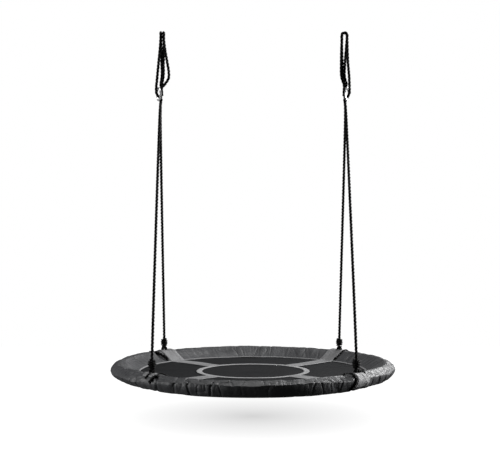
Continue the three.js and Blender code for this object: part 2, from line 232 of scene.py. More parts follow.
# ---------------- rope meshes ----------------
def smooth_path(points, step):
    """Points of a centripetal Catmull-Rom curve through the given ones, evenly spaced."""
    p = np.array(points, float)
    p = np.vstack([2 * p[0] - p[1], p, 2 * p[-1] - p[-2]])
    out = []
    for i in range(1, len(p) - 2):
        a, b, c, d = p[i - 1 : i + 3]
        t0 = 0.0
        t1 = t0 + max(np.linalg.norm(b - a), 1e-9) ** 0.5
        t2 = t1 + max(np.linalg.norm(c - b), 1e-9) ** 0.5
        t3 = t2 + max(np.linalg.norm(d - c), 1e-9) ** 0.5
        for t in np.linspace(t1, t2, 40, endpoint=False):
            A1 = (t1 - t) / (t1 - t0) * a + (t - t0) / (t1 - t0) * b
            A2 = (t2 - t) / (t2 - t1) * b + (t - t1) / (t2 - t1) * c
            A3 = (t3 - t) / (t3 - t2) * c + (t - t2) / (t3 - t2) * d
            B1 = (t2 - t) / (t2 - t0) * A1 + (t - t0) / (t2 - t0) * A2
            B2 = (t3 - t) / (t3 - t1) * A2 + (t - t1) / (t3 - t1) * A3
            out.append((t2 - t) / (t2 - t1) * B1 + (t - t1) / (t2 - t1) * B2)
    out.append(p[-2])
    out = np.array(out)
    d = np.concatenate([[0], np.cumsum(np.linalg.norm(np.diff(out, axis=0), axis=1))])
    n = max(2, int(round(d[-1] / step)) + 1)
    at = np.linspace(0, d[-1], n)
    return np.stack([np.interp(at, d, out[:, k]) for k in range(3)], axis=1), d[-1]


def frames(path, up=(0, 1, 0)):
    t = np.gradient(path, axis=0)
    t /= np.linalg.norm(t, axis=1)[:, None]
    n = np.array(up, float)
    n -= t[0] * (n @ t[0])
    if np.linalg.norm(n) < 1e-4:
        n = np.array((1.0, 0, 0))
        n -= t[0] * (n @ t[0])
    n /= np.linalg.norm(n)
    ns = [n]
    for i in range(1, len(path)):
        n = ns[-1] - t[i] * (ns[-1] @ t[i])
        ns.append(n / np.linalg.norm(n))
    ns = np.array(ns)
    return t, ns, np.cross(t, ns)


STRANDS = 3
LAY = 0.037


def rope_section(d, count=30):
    """Outline of three round strands: radius and a 0..1 value that is 0 in the grooves, for each angle."""
    R = d / 2
    rs = R / (1 + 2 / math.sqrt(3)) * 1.03
    c = R - rs
    radius, crest, local = [], [], []
    for k in range(count):
        a = 2 * math.pi * k / count
        best = 0
        for s in range(STRANDS):
            b = a - 2 * math.pi * s / STRANDS
            disc = rs * rs - (c * math.sin(b)) ** 2
            if disc >= 0:
                r = c * math.cos(b) + math.sqrt(disc)
                if r > best:
                    best, loc = r, (b + math.pi) % (2 * math.pi) - math.pi
        radius.append(best)
        crest.append((best - 0.55 * R) / (0.45 * R))
        local.append(loc)
    return np.array(radius), np.clip(np.array(crest), 0, 1), np.array(local)


def rope_mesh(name, points, d=ROPE_CREST, step=0.0028, phase=0.0, start_u=0.0, tip=(False, False), wobble=0.00025):
    path, length = smooth_path(points, step)
    t, n1, n2 = frames(path)
    m = len(path)
    radius, crest, local = rope_section(d)
    count = len(radius)
    u = start_u + np.linspace(0, length, m)
    ang = 2 * math.pi * np.arange(count) / count
    verts, surf = np.zeros((m, count, 3)), np.zeros((m, count, 3))
    for i in range(m):
        twist = phase + 2 * math.pi * u[i] / LAY
        grow = 1.0 + 0.012 * math.sin(u[i] * 210 + phase * 7) + 0.01 * math.sin(u[i] * 731 + phase)
        ends = 1.0
        for at_end, use in ((i, tip[0]), (m - 1 - i, tip[1])):
            if use:
                ends = min(ends, math.sqrt(max(0.02, 1 - (1 - min(1, at_end * step / (d * 0.5))) ** 2)))
        a = ang + twist
        r = radius * grow * ends
        verts[i] = path[i] + np.outer(r * np.cos(a), n1[i]) + np.outer(r * np.sin(a), n2[i])
        surf[i, :, 0] = u[i]
        surf[i, :, 1] = local
        surf[i, :, 2] = crest
    faces = []
    for i in range(m - 1):
        for k in range(count):
            k2 = (k + 1) % count
            faces.append((i * count + k, i * count + k2, (i + 1) * count + k2, (i + 1) * count + k))
    v = verts.reshape(-1, 3).tolist() + [path[0].tolist(), path[-1].tolist()]
    s = surf.reshape(-1, 3).tolist() + [[u[0], 0, 1], [u[-1], 0, 1]]
    a0, a1 = m * count, m * count + 1
    for k in range(count):
        k2 = (k + 1) % count
        faces.append((a0, k2, k))
        faces.append((a1, (m - 1) * count + k, (m - 1) * count + k2))
    return mesh_object(name, v, faces, s, ROPE), path, length


def mesh_object(name, verts, faces, surf, material, smooth=True):
    me = bpy.data.meshes.new(name)
    me.from_pydata([tuple(map(float, v)) for v in verts], [], faces)
    if surf is not None:
        at = me.attributes.new("surf", "FLOAT_VECTOR", "POINT")
        at.data.foreach_set("vector", np.array(surf, np.float32).reshape(-1))
    me.polygons.foreach_set("use_smooth", [smooth] * len(me.polygons))
    me.materials.append(material)
    me.update()
    ob = bpy.data.objects.new(name, me)
    bpy.context.scene.collection.objects.link(ob)
    return ob


def mm(points):
    return [tuple(c / 1000.0 for c in p) for p in points]


# ---------------- ropes ----------------
def use_rope(nodes):
    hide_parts(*nodes)


rope_pieces = {}
LOOPS = {
    "left": dict(
        x=-332,
        strands={
            "outer_front": [[7.4, -7, -15], [4.6, -6, -55], [0.7, -5, -92], [-3.6, -3, -135], [-6.6, -1, -165], [-8.2, 1, -179]],
            "outer_rear": [[7.4, 7, -15], [8.6, 8, -60], [9.6, 9.5, -105], [10.5, 9.5, -145], [6, 7.5, -179]],
            "inner_front": [[17.6, -7, -15], [23, -9.5, -60], [31, -11, -105], [36, -11.5, -138], [35, -11, -158], [22, -10, -179]],
            "inner_rear": [[17.6, 7, -15], [18, 5, -60], [16.6, 2, -105], [16.8, 0, -145], [11.5, -2, -179]],
        },
        crowns=[("outer", "outer_front", "outer_rear"), ("inner", "inner_front", "inner_rear")],
    ),
    "right": dict(
        x=332,
        strands={
            "front_inner": [[-18.4, -5, -15], [-20.4, -5, -60], [-21, -5, -105], [-20, -5, -150], [-11, -5, -179]],
            "front_outer": [[0, -5, -15], [0.8, -6, -60], [3, -7, -105], [6.6, -6, -145], [8.6, -1, -179]],
            "rear_inner": [[-18.4, 5, -15], [-17.4, 5.6, -60], [-16, 7, -105], [-15, 7, -150], [-9, 7, -179]],
            "rear_outer": [[0, 5, -15], [-3.6, 5, -60], [-7.2, 0.4, -105], [-8.4, -0.6, -150], [-0.2, 3, -179]],
        },
        crowns=[("front", "front_inner", "front_outer"), ("rear", "rear_inner", "rear_outer")],
    ),
}
SPLIT = -60  # a strand is cut here: above it belongs to the bend over the hook, below to the ring
for side, loop in LOOPS.items():
    sx = -1 if side == "left" else 1

    def world(points):
        return mm([[loop["x"] + x, y, z] for x, y, z in points])

    for name, first, second in loop["crowns"]:
        a, b = loop["strands"][first], loop["strands"][second]
        (xa, ya, _), (xb, yb, _) = a[0], b[0]
        half = math.hypot(xb - xa, yb - ya) / 2
        raise_z = 8.5 - (-3 + half + 4.25)
        arc = []
        for k in range(1, 6):
            tt = math.pi * k / 6
            w = (1 - math.cos(tt)) / 2
            arc.append([xa + (xb - xa) * w, ya + (yb - ya) * w, -3 + half * math.sin(tt) + raise_z * math.sin(tt)])
        up = [a[1], a[0]] if a[1][2] == SPLIT else [[np.interp(-SPLIT, [-p[2] for p in a], [p[k] for p in a]) for k in range(2)] + [SPLIT], a[1], a[0]]
        down = [b[0], b[1]] if b[1][2] == SPLIT else [b[0], b[1], [np.interp(-SPLIT, [-p[2] for p in b], [p[k] for p in b]) for k in range(2)] + [SPLIT]]
        ob, path, length = rope_mesh(f"{side}_hook_loop_{name}", world(up + [[xa, ya, -5]] + arc + [[xb, yb, -5]] + down), phase=1.7 * len(rope_pieces))
        rope_pieces[ob.name] = ob
        use_rope([f"{side}_hook_bend_{name}"])
        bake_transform(ob)
    for name, pts in loop["strands"].items():
        low = [p for p in pts if p[2] < SPLIT - 1]
        top = [np.interp(-SPLIT, [-p[2] for p in pts], [p[k] for p in pts]) for k in range(2)] + [SPLIT]
        full = [top] + low
        # run on into the ring's rope, so the two meet as one
        ob, path, length = rope_mesh(f"{side}_loop_strand_{name}", world(full), phase=0.9 * len(rope_pieces))
        rope_pieces[ob.name] = ob
        use_rope([f"{side}_loop_rope_{name}"])
        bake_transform(ob)

# rope through the rings
for side, s in (("left", -1), ("right", 1)):
    yaw = s * RING_YAW
    cyaw, syaw = math.cos(yaw), math.sin(yaw)

    def hitch_point(x, y, z):
        x = -s * x
        return (s * RING_X * 1000 + x * cyaw - y * syaw, x * syaw + y * cyaw, RING_Z * 1000 + z)

    ends = {n: p[-1] for n, p in LOOPS[side]["strands"].items()}
    joined = [(s * RING_X * 1000 + e[0], e[1], e[2]) for e in ends.values()]
    if side == "left":
        outer, others = joined[0], joined[1:]
    else:
        outer, others = joined[1], [joined[0], joined[2], joined[3]]
    legs_top = {
        "front": (s * RING_X * 1000 - s * 6, -5.2, -247),
        "rear": (s * RING_X * 1000 - s * 6, 5.2, -247),
    }
    strands = {
        # down outside the ring, through it, and on into the front leg
        "through": [outer, hitch_point(-9.3, 0, 18), hitch_point(-9.0, 0, 6), hitch_point(-5, -1, -4), hitch_point(3, -2.5, -11), hitch_point(8, -4, -20), legs_top["front"]],
        "rear": [others[1] if side == "left" else others[1], hitch_point(8.8, 2, 20), hitch_point(9.2, 4.4, 2), hitch_point(8.8, 4.4, -16), legs_top["rear"]],
        # a bight that holds the ring: in on one face, round the wire and out again
        "bight": [others[0], hitch_point(9.4, -4.6, 18), hitch_point(9.6, -5.2, 6), hitch_point(11.2, -1.5, -3), hitch_point(12, 3.5, 5), hitch_point(11.2, 3.4, 20), others[2]],
    }
    made = []
    for name, pts in strands.items():
        ob, path, length = rope_mesh(f"{side}_ring_rope_{name}", mm(pts), phase=0.5 * len(rope_pieces))
        rope_pieces[ob.name] = ob
        made.append((ob, path, length))
        if name == "through":
            use_rope([f"{side}_ring_hitch"])
        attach(ob, "rings")
    N[f"{side}_ring"].data.materials.clear()
    N[f"{side}_ring"].data.materials.append(RING)

ARC = math.pi / 2 * RIM_R


def smooth01(x):
    x = np.clip(x, 0, 1)
    return x * x * (3 - 2 * x)


# legs, knots and the hitches round the rim
sgn_hidden = {"rear_left": -1, "rear_right": 1}  # the turn that the webbing covers
for corner, deg in CORNERS.items():
    sx = 1 if "right" in corner else -1
    sy = 1 if "rear" in corner else -1
    body = "right_legs" if sx > 0 else "left_legs"
    x, y = sx * HANG, sy * HANG
    pts = mm([[sx * 332 - sx * 6, sy * 5.2, -247], [sx * 332 - sx * 4.5, sy * 19, -289]]) + [(x, y, KNOT_HIGH + 0.0019), (x, y, KNOT_HIGH - 0.012), (x, y, KNOT_LOW + 0.0095)]
    ob, path, length = rope_mesh(corner + "_leg", pts, phase=0.7 * len(rope_pieces))
    rope_pieces[ob.name] = ob
    # the knot: turns of the rope's end round the leg
    turns, r0 = 3.6, ROPE_D / 2 + (0.0050 if sy > 0 else 0.0062)
    coil = []
    z0, z1 = KNOT_LOW + 0.0048, KNOT_HIGH - 0.0048
    steps = 64
    for k in range(steps + 1):
        f = k / steps
        a = 2 * math.pi * turns * f + deg
        rk = r0 * (0.66 + 0.34 * math.sin(math.pi * f) ** 0.7)
        coil.append((x + rk * math.cos(a), y + rk * math.sin(a), z0 + (z1 - z0) * f))
    a = 2 * math.pi * turns + deg
    coil.append((x + 0.6 * r0 * math.cos(a + 0.5), y + 0.6 * r0 * math.sin(a + 0.5), z1 + 0.003))
    knot, kpath, klength = rope_mesh(corner + "_knot_turns", coil, d=0.0086, step=0.0016, phase=0.3, tip=(True, True))
    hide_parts(corner + "_knot")
    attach(knot, body)
    use_rope([corner + "_leg_rope"])
    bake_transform(ob)
    # the hitch: two turns round the rim beside the webbing, both ends up into the knot
    ar = math.radians(deg)
    out, along, upz = np.array((math.cos(ar), math.sin(ar), 0)), np.array((-math.sin(ar), math.cos(ar), 0)), np.array((0, 0, 1.0))
    base, turn_at = 0.0272, 0.0285

    def at_rz(r, z, off):
        return tuple(out * r + upz * z + along * off)

    def at(phi_deg, off, r=base):
        ph = math.radians(phi_deg)
        return at_rz(RIM_R + r * math.cos(ph), RIM_Z + r * math.sin(ph), off)

    hidden = (corner, sgn_hidden[corner]) if corner in sgn_hidden else None
    covered_below = {("front_left", -1): 8, ("front_left", 1): 14, ("front_right", 1): 50, ("front_right", -1): -46}.get
    drift_to = {("front_right", -1): 0.030, ("rear_left", 1): 0.006, ("rear_right", -1): 0.006}.get

    def outside_turn(phi, sg):
        # where the sleeve covers the rope it runs close on the padding; elsewhere it lies on the sleeve
        limit = covered_below((corner, sg), -400)
        r = base - 0.0105 * smooth01((limit - phi) / 22.0)
        if corner == "front_left":
            low_, high_, lowest, first, last_ = (2, 60, 24, 0.040, 0.020) if sg > 0 else (30, 66, 20, 0.003, -0.010)
            r = base + 0.0004 - 0.0110 * max(smooth01((low_ - phi) / 14.0), smooth01((phi - high_) / 12.0))
            return at(phi, first + (last_ - first) * smooth01((62 - phi) / 56.0), float(r))
        if (corner, sg) == ("rear_left", 1):
            return at(phi, 0.0380 + 0.0220 * smooth01((phi + 108) / 160.0), float(r))
        off = turn_at + 0.003 * math.sin(math.radians(70 - phi)) + drift_to((corner, sg), 0.0) * smooth01((25 - phi) / 115.0)
        return at(phi, off * sg, float(r))

    def over_top(sg):
        if corner == "front_left":
            return [outside_turn(58, sg), outside_turn(68, sg), at(80, 0.0120 if sg > 0 else 0.0, 0.0190), at(88, 0.0050 * sg, 0.0215)]
        if (corner, sg) == ("front_right", 1):
            return [outside_turn(61, sg), at(74, 0.0295, base + 0.0006), at_rz(HANG * math.sqrt(2) - 0.001, RIM_Z + 0.0310, 0.0250), at_rz(HANG * math.sqrt(2) + 0.001, RIM_Z + 0.0332, 0.0160)]
        low_ = 0.0095 if (corner, sg) == hidden else 0.0
        return [outside_turn(61, sg), at(76, turn_at * sg, base - low_), at(92, (turn_at - 0.001) * sg, base - low_), at(103, 0.0225 * sg, 0.0238 - 0.5 * low_), at(100, 0.0120 * sg, 0.0232)] if (corner, sg) != ("rear_left", 1) else [at(58, 0.0600, base), at(76, 0.0605, base), at(90, 0.0570, base - 0.0006), at(97, 0.0440, 0.0180), at(99, 0.0300, 0.0175), at(100, 0.0150, 0.0178)]

    def turn_path(sg):
        # from the knot through the webbing, down the flap, through its foot, back under the rim and up outside
        sink = 0.0095 if (corner, sg) == hidden else 0.0
        nr_, nz_ = -0.46 * sink, 0.888 * sink
        wide = 0.0315 if (corner, sg) == ("rear_left", 1) else 0.0
        dip = 0.0070 if (corner, sg) == ("rear_right", -1) else 0.0
        return [
            at_rz(HANG * math.sqrt(2), KNOT_LOW + 0.003, 0.0030 * sg),
            at_rz(HANG * math.sqrt(2) - 0.001, RIM_Z + (0.0335 if sx > 0 else 0.0350), (0.0058 if sx > 0 else 0.0070) * sg),
            at(96, 0.0140 * sg, 0.0235 - 0.5 * sink),
            at(106, 0.0235 * sg, 0.0245 - 0.8 * sink),
            at(120, (turn_at + 0.92 * wide) * sg, base + 0.0006 - sink - 0.3 * dip),
            at_rz(0.4480 - nr_, -1.1580 - nz_ - 0.8 * dip, (turn_at + 0.72 * wide) * sg),
            at_rz(0.4360 - nr_, -1.1642 - nz_ - dip, (turn_at + 0.56 * wide) * sg),
            at_rz(0.4240 - nr_, -1.1705 - nz_ - dip, (turn_at + 0.43 * wide) * sg),
            at_rz(0.4135 - 0.5 * nr_, -1.1765 - nz_ - 0.5 * dip, (turn_at + 0.33 * wide) * sg),
            at_rz(0.4095, -1.1865, (turn_at + 0.30 * wide) * sg),
            at_rz(0.4115, -1.1950, (turn_at + 0.30 * wide) * sg),
            at_rz(0.4220, -1.1995, (turn_at + 0.30 * wide) * sg),
            at_rz(0.4360, -1.2030, (turn_at + 0.30 * wide) * sg),
        ] + [outside_turn(phi, sg) for phi in range(-108, 48, 13)] + [
            *over_top(sg),
            at_rz(HANG * math.sqrt(2) + 0.002, RIM_Z + (0.0335 if sx > 0 else 0.0350), (0.0055 if sx > 0 else 0.0062) * sg),
            at_rz(HANG * math.sqrt(2) + 0.002, KNOT_LOW + 0.003, 0.0025 * sg),
        ]

    def hang_turn(turn):
        # on the left, where a joint joins legs and seat, the turn is left loose, with no body; on the right it goes
        # with the seat
        if sx < 0:
            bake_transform(turn)
        else:
            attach(turn, "seat")

    ob2, path2, length2 = rope_mesh(corner + "_rim_turn", turn_path(1), step=0.0022, phase=0.4 * len(rope_pieces))
    hang_turn(ob2)
    ob, path, length = rope_mesh(corner + "_rim_hitch", turn_path(-1), step=0.0022, phase=0.3 * len(rope_pieces))
    rope_pieces[ob.name] = ob
    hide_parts(corner + "_rope_eye")
    hang_turn(ob)


# ---------------- fabric materials ----------------
def weave_material(name, colours, pitch, bump_mm, rough, sheen=0.0, coat=0.0, coat_rough=0.3, spec=0.4, speckle=0.0, crumple=0.12, folds=0.0):
    m, nt, b = new_material(name)
    s = attribute(nt, "surf")
    oc = object_coords(nt)
    w = weave_height(nt, s, *pitch)
    blotch = noise(nt, oc, 9.0, 4.0)
    fine = noise(nt, oc, 420.0, 3.0)
    col = ramp(nt, blotch, [(0.3, colours[0]), (0.7, colours[1])])
    # painted shade: the colour is darkened in the gaps between threads, where the weave is low
    thread_gap_shade = ramp(nt, w, [(0.0, (0.45, 0.45, 0.45)), (0.75, (1, 1, 1))])
    col = mix_color(nt, 0.55, col, thread_gap_shade, "MULTIPLY")
    if speckle:
        dots = ramp(nt, noise(nt, oc, 700.0, 2.0), [(0.36, (0.55, 0.55, 0.56)), (0.62, (1.18, 1.18, 1.18))])
        col = mix_color(nt, speckle, col, dots, "MULTIPLY")
    nt.links.new(col, b.inputs["Base Color"])
    height = math_node(nt, "ADD", w, math_node(nt, "MULTIPLY", fine, 0.6))
    n = bump(nt, b, height, bump_mm / 1000.0, 0.9)
    creases = noise(nt, oc, 38.0, 4.0, 0.6)
    n = bump(nt, b, creases, 0.0012, crumple, after=n)
    if folds:
        for scale, depth in (((17.0, 3.6, 1.0), folds), ((38.0, 11.0, 1.0), 0.16 * folds)):
            fit = nt.nodes.new("ShaderNodeMapping")
            fit.inputs["Scale"].default_value = scale
            fit.inputs["Rotation"].default_value = (0, 0, 0.16 if scale[0] < 30 else -0.3)
            nt.links.new(s, fit.inputs["Vector"])
            f = noise(nt, fit.outputs[0], 1.0, 0.6, 0.4)
            off = math_node(nt, "ABSOLUTE", math_node(nt, "SUBTRACT", f, 0.5))
            crease = math_node(nt, "MINIMUM", math_node(nt, "MULTIPLY", off, 6.0), 1.0)
            n = bump(nt, b, crease, depth, 0.7, after=n)
    nt.links.new(ramp(nt, math_node(nt, "ADD", math_node(nt, "MULTIPLY", blotch, 0.6), math_node(nt, "MULTIPLY", fine, 0.4)), [(0.3, (rough - 0.07,) * 3), (0.7, (rough + 0.09,) * 3)]), b.inputs["Roughness"])
    b.inputs["Specular IOR Level"].default_value = spec
    b.inputs["Sheen Weight"].default_value = sheen
    b.inputs["Coat Weight"].default_value = coat
    b.inputs["Coat Roughness"].default_value = coat_rough
    return m


SLEEVE = weave_material("sleeve_coated_fabric", ((0.036, 0.037, 0.040), (0.052, 0.053, 0.057)), (0.0011, 0.0011), 0.12, 0.49, sheen=0.05, coat=0.10, coat_rough=0.34, spec=0.4, crumple=0.012, folds=0.0021)
MAT = weave_material("mat_fabric", ((0.0062, 0.0066, 0.0076), (0.0094, 0.0098, 0.0112)), (0.0012, 0.0012), 0.10, 0.75, sheen=0.0, spec=0.12)
WEBBING = weave_material("webbing_grey", ((0.160, 0.160, 0.164), (0.228, 0.228, 0.234)), (0.0024, 0.0016), 0.22, 0.52, sheen=0.1, spec=0.7, speckle=0.8)
CIRCLE_WEBBING = weave_material("webbing_circle_grey", ((0.25, 0.25, 0.254), (0.35, 0.35, 0.356)), (0.0022, 0.0016), 0.20, 0.62, sheen=0.1, spec=0.4, speckle=0.6)
BINDING = weave_material("binding_grey", ((0.19, 0.19, 0.194), (0.26, 0.26, 0.266)), (0.0014, 0.0010), 0.15, 0.6, sheen=0.1, spec=0.3, speckle=0.5)


# ---------------- surface noise, the same every run ----------------
def lattice(seed, nx, ny):
    return np.random.default_rng(seed).uniform(-1, 1, (nx, ny))


def noise2(seed, x, y, wrap_y):
    """Smooth noise at x, y in cells; y wraps after wrap_y cells."""
    g = lattice(seed, 512, wrap_y)
    xi, yi = np.floor(x).astype(int), np.floor(y).astype(int)
    fx, fy = x - xi, y - yi
    fx, fy = fx**3 * (fx * (fx * 6 - 15) + 10), fy**3 * (fy * (fy * 6 - 15) + 10)
    x0, x1, y0, y1 = xi % 512, (xi + 1) % 512, yi % wrap_y, (yi + 1) % wrap_y
    return (g[x0, y0] * (1 - fx) + g[x1, y0] * fx) * (1 - fy) + (g[x0, y1] * (1 - fx) + g[x1, y1] * fx) * fy


def ridge(v, width=0.35):
    """Soft cloth folds: wide round swells that meet in narrow creases."""
    return 1 - np.exp(-np.abs(v) / width)


# station along the side, depth, lean, and from where to where round the section, in degrees
DEEP_CREASES = {
    32: [(0.112, 0.0034, 0.004, -75, 40), (0.160, 0.0040, -0.004, -75, 75), (0.192, 0.0016, 0.002, -70, 20), (0.236, 0.0040, 0.003, -70, 75), (0.300, 0.0024, -0.003, 5, 80), (0.552, 0.0017, 0.006, -60, 70), (0.612, 0.0012, -0.004, -60, 60), (0.652, 0.0019, 0.005, -60, 75)],
    11: [(0.060, 0.0036, 0.003, -75, 15), (0.104, 0.0040, -0.003, -75, 20), (0.150, 0.0034, 0.004, -75, 15), (0.205, 0.0036, -0.002, -75, 25), (0.262, 0.0030, 0.003, -75, 15)],
    25: [(0.545, 0.0036, 0.003, -75, 15), (0.600, 0.0040, -0.003, -75, 10), (0.650, 0.0036, 0.003, -75, 20), (0.686, 0.0040, 0.002, -75, 30)],
}


def turn_groove(s, phi_deg, seed):
    """Where the rope turns press in: 1 on a turn's line, 0 away from it."""
    if seed == 18:
        return 0.0 * s  # at the rear side both are under the webbing
    near_start = s < ARC / 2
    d = np.minimum(s, ARC - s)
    line = np.full_like(s * phi_deg, 0.0285)
    if seed == 25:  # the left side: its rear turn runs wide over the top, its front turn lies at the middle
        wide = np.interp(phi_deg, [20, 90, 121, 140, 165, 185], [0.85, 1.0, 0.92, 0.66, 0.42, 0.30])
        line = np.where(near_start, 0.0285 + 0.0315 * wide, line)
        return np.where(near_start, np.exp(-(((d - line) / 0.0052) ** 2)), 0.0)
    if seed == 11:  # the right side: only the front end's turn lies open all the way
        fade = np.where(near_start, 1.0, smooth01((118 - phi_deg) / 30.0) + 0.35)
        return np.minimum(fade, 1.0) * np.exp(-(((d - line) / 0.0052) ** 2))
    return np.exp(-(((d - line) / 0.0052) ** 2))


def sleeve_radius(s, phi, seed):
    """Radius of the padded sleeve's section. s runs along the rim from one hanging point to the next."""
    d = np.minimum(s, ARC - s)
    crease_at = math.radians(20) + 0.13 * noise2(seed + 12, s / 0.06, 0 * phi, 4) + 0.06 * noise2(seed + 13, s / 0.02, 0 * phi, 4)
    if seed == 25:
        crease_at = crease_at - 0.42 * smooth01((s / ARC - 0.35) / 0.3)
    wrap = np.mod(phi - crease_at + math.pi, 2 * math.pi) - math.pi  # 0 at the crease line, + above it
    facet = np.zeros_like(phi)
    for lo_, hi_, amount_ in ((0.0, 1.34, 0.72), (-1.42, 0.0, 0.6)):
        half_, mid_ = (hi_ - lo_) / 2, (hi_ + lo_) / 2
        inside_ = (wrap > lo_) & (wrap < hi_)
        chord_ = np.cos(half_) / np.cos(np.clip(wrap - mid_, -half_, half_))
        facet = np.where(inside_, facet + amount_ * (1 - chord_), facet)
    away = smooth01((d - 0.030) / 0.035)
    if (seed - 11) // 7 in (0, 2):
        away = away * (0.75 + 0.25 * np.abs(2 * s / ARC - 1) ** 1.5)
    r = 0.0284 - 0.0284 * facet * away - 0.0046 * turn_groove(s, np.degrees(phi), seed) * (0.15 + 0.85 * smooth01((np.sin(phi) + 0.1) / 0.5))
    r -= 0.0016 * smooth01(1 - d / 0.020)
    if seed in (11, 25):
        along_side = s / ARC if seed == 11 else 1 - s / ARC
        below = np.mod(phi + math.radians(72) + math.pi, 2 * math.pi) - math.pi
        r -= 0.0058 * np.exp(-(((along_side - 0.33) / 0.30) ** 2)) * np.exp(-((below / 0.80) ** 2)) * (1.0 if seed == 11 else 0.6)
    # gathers: folds round the section, each fading out somewhere
    y = phi / (2 * math.pi)
    lean = 0.010 * np.sin(phi * 1 + s * 21 + seed)
    f1 = noise2(seed, (s + lean) / 0.040, y * 3, 3)
    f2 = noise2(seed + 1, (s - 0.6 * lean) / 0.013, y * 6, 6)
    f3 = noise2(seed + 2, s / 0.075, y * 4, 4)
    f4 = noise2(seed + 3, s / 0.0075, y * 12, 12)
    near = np.exp(-d / 0.07)
    amount = 0.55 + 0.45 * noise2(seed + 4, s / 0.12, y * 3, 3) + 0.7 * near
    quiet = smooth01((d - 0.034) / 0.02)
    calm = 1 - 0.55 * smooth01((-np.sin(phi) - 0.70) / 0.2)
    calm = calm - 0.6 * smooth01((np.sin(phi) - 0.75) / 0.2) * (seed == 18)
    r += quiet * calm * amount * (0.0050 * (ridge(f1, 0.17) - 0.78) + 0.0014 * (ridge(f2, 0.25) - 0.6))
    r += quiet * (0.0012 * f3 + 0.00028 * f4)
    # deep creases across the rim, where the casing is gathered most, and fine gathers beside them
    if seed in DEEP_CREASES:
        for s0, depth, lean_, low_, high_ in DEEP_CREASES[seed]:
            at_ = s - s0 - lean_ * phi + 0.003 * noise2(seed + 40, phi * 2 + 9, 0 * s, 4)
            span_ = smooth01((phi - math.radians(low_)) / 0.35) * smooth01((math.radians(high_) - phi) / 0.35)
            r -= span_ * depth * (np.exp(-((at_ / 0.0034) ** 2)) - 0.18 * np.exp(-(((at_ - 0.009) / 0.006) ** 2)))
    if seed in (11, 32):
        lo_, hi_, deg_lo, deg_hi = (0.355, 0.52, 18, 88) if seed == 32 else (0.05, 0.30, -60, 12)
        stretch = s * (1 + 0.10 * noise2(seed + 41, s / 0.05, 0 * phi, 4)) - 0.004 * phi
        win = smooth01((s - lo_) / 0.04) * smooth01((hi_ - s) / 0.05) * smooth01((phi - math.radians(deg_lo)) / 0.3) * smooth01((math.radians(deg_hi) - phi) / 0.3)
        r -= win * 0.0016 * (1 - np.abs(np.sin(math.pi * stretch / (0.0125 if seed == 32 else 0.022)))) ** 1.5
    # creases that fan out from the hitch
    fan = np.sin(np.arctan2(np.sin(phi - 0.9) * 0.03, d + 0.004) * 15 + 3 * f3)
    r += 0.0011 * np.exp(-(((d - 0.045) / 0.022) ** 2)) * fan
    if seed == 32:  # the front hangs a little lower
        drop = 0.0068 * smooth01((d - 0.026) / 0.035) * (1 - 0.62 * smooth01((s / ARC - 0.60) / 0.30))
        r = np.minimum(r, 0.0298) - np.sin(phi) * np.where(np.sin(phi) > 0, drop, 0.0038 * smooth01((d - 0.030) / 0.16))
        return np.minimum(r, 0.0325)
    return np.minimum(r, 0.0298)


def rim_surface(theta, phi, r):
    rr = RIM_R + r * np.cos(phi)
    return np.stack([rr * np.cos(theta), rr * np.sin(theta), RIM_Z + r * np.sin(phi)], axis=-1)


def grid_faces(a, b, wrap_b=False):
    i, j = np.meshgrid(np.arange(a - 1), np.arange(b if wrap_b else b - 1), indexing="ij")
    j2 = (j + 1) % b
    return np.stack([i * b + j, (i + 1) * b + j, (i + 1) * b + j2, i * b + j2], axis=-1).reshape(-1, 4).tolist()


SIDES = {"right": 0, "rear": 90, "left": 180, "front": 270}
NS, NP, NF, NB = ((760, 96, 34, 90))
FOOT_R, FOOT_Z = 0.4022, SEAT_Z + 0.0006  # where the flap meets the seat
LEAVE = math.radians(121)
BELOW = math.radians(-163)


TURN = 0.0285  # how far each rope turn lies from the middle of the webbing


def flap_lift(s, t, seed):
    """How far the flap stands off a straight slope; t runs from the rim (0) to its foot (1)."""
    d = np.minimum(s, ARC - s)
    # tension folds run from the rim to the seam, leaning one way then the other
    lean = 0.045 * (noise2(seed + 9, s / 0.16, 0 * t, 4)) * t
    a = noise2(seed + 5, (s + lean) / 0.036, 0.35 * t, 4)
    b = noise2(seed + 6, (s - lean) / 0.070, 0.5 * t + 1, 4)
    c = noise2(seed + 7, (s + 0.4 * lean) / 0.017, 0.8 * t + 2, 4)
    shape = np.sin(math.pi * np.clip(t, 0, 1)) ** 0.8
    lift = shape * (0.0021 * (ridge(a, 0.3) - 0.6) + 0.0022 * b + 0.0007 * c)
    lift += 0.0030 * shape * noise2(seed + 8, s / 0.10, t * 1.2, 4)
    lift = lift * smooth01((d - 0.012) / 0.03) - 0.0010 * shape * smooth01(1 - d / 0.06)
    return lift - 0.0042 * np.minimum(1, shape * 2.2) * turn_groove(s, 121 + 64 * t, seed)


